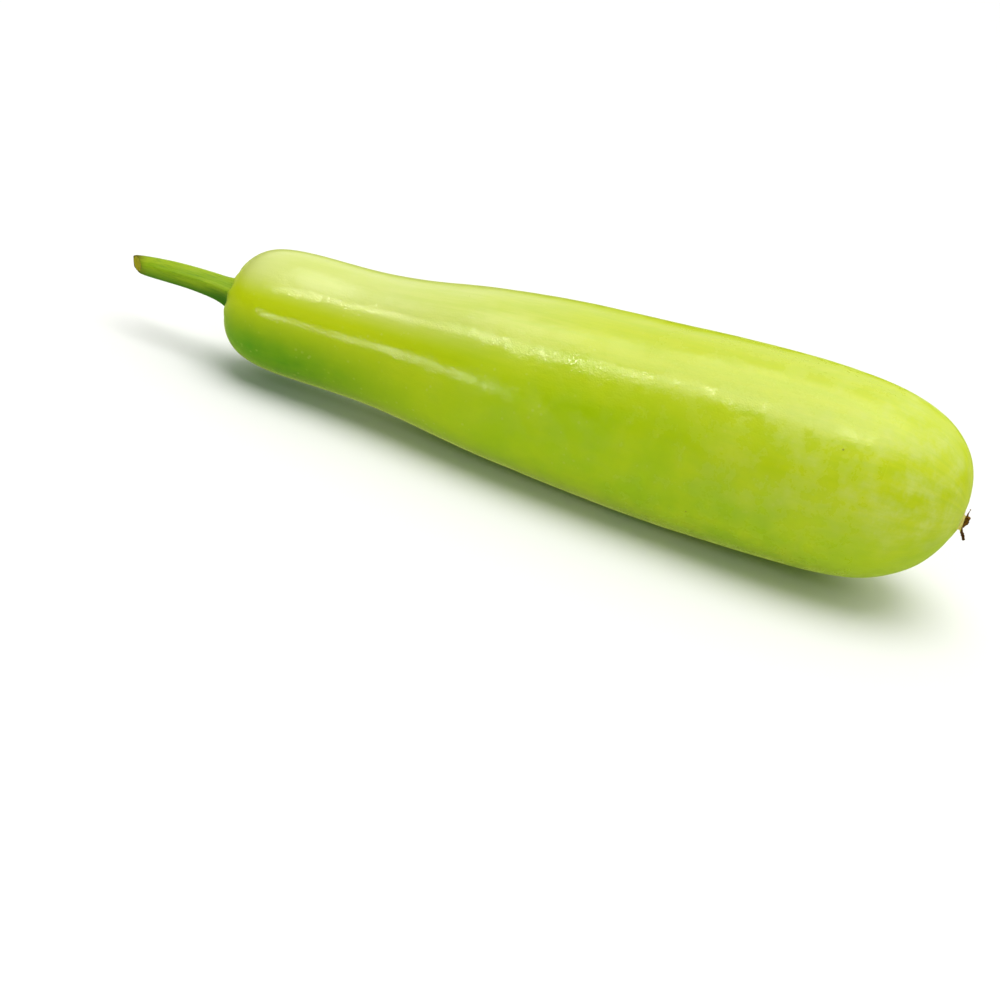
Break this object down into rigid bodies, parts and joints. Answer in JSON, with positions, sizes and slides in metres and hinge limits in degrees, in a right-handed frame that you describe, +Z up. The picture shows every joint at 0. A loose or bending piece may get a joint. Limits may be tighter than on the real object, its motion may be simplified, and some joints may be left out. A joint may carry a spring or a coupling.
{
  "type": "bottle gourd",
  "caption": "Long pale green bottle gourd with a slim neck, rounded belly, ridged cut stalk and dried blossom remnant, lying on its side.",
  "frame": {"origin": "on the table, under the middle of the whole object's bounding box", "axes": "+Z up, +X along the gourd from the stalk towards the blossom end, -Y towards the viewer of the picture"},
  "size_m": [0.371, 0.0848, 0.0874],
  "materials": {
    "gourd_skin": "smooth waxy pale green rind with mottling and a soft gloss",
    "green_stalk": "ridged fibrous green stalk with a browned slanting cut",
    "dry_blossom": "dry dark brown corky remnant"
  },
  "bodies": {
    "root": {"fruit": "gourd_skin", "stem": "green_stalk", "blossom_remnant": "dry_blossom"}
  },
  "joints": []
}
